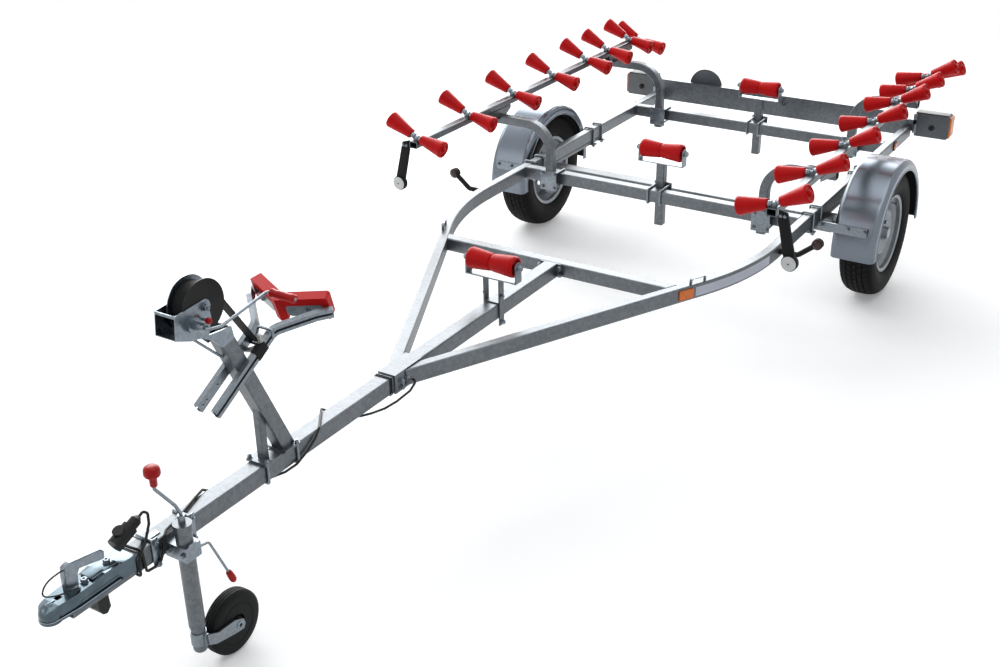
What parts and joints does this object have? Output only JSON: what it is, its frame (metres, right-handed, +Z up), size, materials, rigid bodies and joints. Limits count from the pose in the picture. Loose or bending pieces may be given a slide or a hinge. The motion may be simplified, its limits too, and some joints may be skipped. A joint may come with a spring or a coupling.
{
  "type": "boat trailer",
  "caption": "Single-axle galvanised boat trailer with two roller racks, keel rollers, winch post with bow stop, fenders, lamp board and jockey wheel.",
  "frame": {"origin": "on the floor, at the centre of the trailer's box", "axes": "+Y to the tail, +X to the side on the left of a driver who looks ahead, +Z up"},
  "size_m": [1.9566, 5.0738, 1.1395],
  "materials": {
    "galvanised_steel": "dull",
    "plated_steel": "satin",
    "black_painted_steel": "satin",
    "silver_wheel_paint": "satin",
    "tyre_rubber": "matt",
    "roller_red": "satin",
    "fender_sheet": "satin",
    "black_plastic": "satin",
    "grey_plastic": "satin",
    "lens_plastic": "gloss",
    "amber_plastic": "gloss",
    "red_plastic": "gloss",
    "pad_red": "satin",
    "wheel_rubber": "matt",
    "strap_webbing": "matt",
    "cable_sheath": "satin"
  },
  "bodies": {
    "trailer": {"drawbar": "galvanised_steel", "drawbar_sleeve": "galvanised_steel", "side_rail_left": "galvanised_steel", "side_rail_right": "galvanised_steel", "cross_beams": "galvanised_steel", "rail_caps": "black_plastic", "tie_loops": "plated_steel", "side_reflectors": "amber_plastic", "axle": "galvanised_steel", "swing_arms": "galvanised_steel", "fender_left": "fender_sheet", "fender_right": "fender_sheet", "fender_stays": "galvanised_steel", "rack_beams": "galvanised_steel", "rack_arms": "galvanised_steel", "pair_axles": "plated_steel", "cone_rollers_left": "roller_red", "cone_rollers_right": "roller_red", "keel_forks": "galvanised_steel", "keel_posts": "galvanised_steel", "lamp_board": "galvanised_steel", "tail_lamps": "grey_plastic", "tail_lenses": "lens_plastic", "speed_disc": "black_plastic", "side_markers": "black_plastic", "front_markers": "black_plastic", "winch_post": "galvanised_steel", "winch_frame": "plated_steel", "gear_guard": "black_painted_steel", "winch_strap": "strap_webbing", "strap_hook": "plated_steel", "bow_stop_arms": "galvanised_steel", "arm_band": "wheel_rubber", "bow_stop_pads": "pad_red", "pad_brackets": "plated_steel", "coupling_head": "plated_steel", "coupling_lever": "plated_steel", "support_skid": "black_plastic", "safety_cable": "cable_sheath", "jockey_clamp": "plated_steel", "jockey_tube": "galvanised_steel", "jockey_crank": "plated_steel", "red_knobs": "red_plastic", "lighting_plug": "black_plastic", "plug_holder": "plated_steel", "light_cable": "cable_sheath"},
    "wheel_left": {"tyre_left": "tyre_rubber", "wheel_left": "silver_wheel_paint"},
    "wheel_right": {"tyre_right": "tyre_rubber", "wheel_right": "silver_wheel_paint"},
    "roller_front": {"keel_roller_front": "roller_red"},
    "roller_middle": {"keel_roller_middle": "roller_red"},
    "roller_rear": {"keel_roller_rear": "roller_red"},
    "jockey_leg": {"jockey_leg": "galvanised_steel"},
    "jockey_fork": {"jockey_fork": "galvanised_steel"},
    "jockey_wheel": {"jockey_wheel": "wheel_rubber"},
    "winch_drum": {"winch_drum": "plated_steel", "strap_coil": "strap_webbing"},
    "winch_crank": {"winch_crank": "plated_steel", "crank_grip": "red_plastic"}
  },
  "joints": [
    {"name": "wheel_left_spin", "type": "hinge", "parent": "trailer", "child": "wheel_left", "pos_m": [0.878, 1.42908, 0.289], "axis": [1, 0, 0], "continuous": true},
    {"name": "wheel_right_spin", "type": "hinge", "parent": "trailer", "child": "wheel_right", "pos_m": [-0.878, 1.42908, 0.289], "axis": [1, 0, 0], "continuous": true},
    {"name": "roller_front_spin", "type": "hinge", "parent": "trailer", "child": "roller_front", "pos_m": [0, -0.41192, 0.632], "axis": [1, 0, 0], "continuous": true},
    {"name": "roller_middle_spin", "type": "hinge", "parent": "trailer", "child": "roller_middle", "pos_m": [0, 1.01708, 0.646], "axis": [1, 0, 0], "continuous": true},
    {"name": "roller_rear_spin", "type": "hinge", "parent": "trailer", "child": "roller_rear", "pos_m": [0, 2.18208, 0.646], "axis": [1, 0, 0], "continuous": true},
    {"name": "jockey_height", "type": "slide", "parent": "trailer", "child": "jockey_leg", "axis": [0, 0, 1], "range_m": [-0.12, 0.015]},
    {"name": "jockey_castor", "type": "hinge", "parent": "jockey_leg", "child": "jockey_fork", "pos_m": [0.08, -2.11088, 0.084], "axis": [0, 0, 1], "continuous": true},
    {"name": "jockey_wheel_spin", "type": "hinge", "parent": "jockey_fork", "child": "jockey_wheel", "pos_m": [0.08, -1.98288, 0.1], "axis": [1, 0, 0], "continuous": true},
    {"name": "winch_drum_spin", "type": "hinge", "parent": "trailer", "child": "winch_drum", "pos_m": [0, -1.88888, 1.0615], "axis": [1, 0, 0], "continuous": true},
    {"name": "winch_crank_spin", "type": "hinge", "parent": "trailer", "child": "winch_crank", "pos_m": [0.052, -1.94451, 1.03413], "axis": [1, 0, 0], "continuous": true}
  ],
  "couplings": [
    {"joint": "winch_crank_spin", "follows": "winch_drum_spin", "ratio": -4.1667}
  ]
}
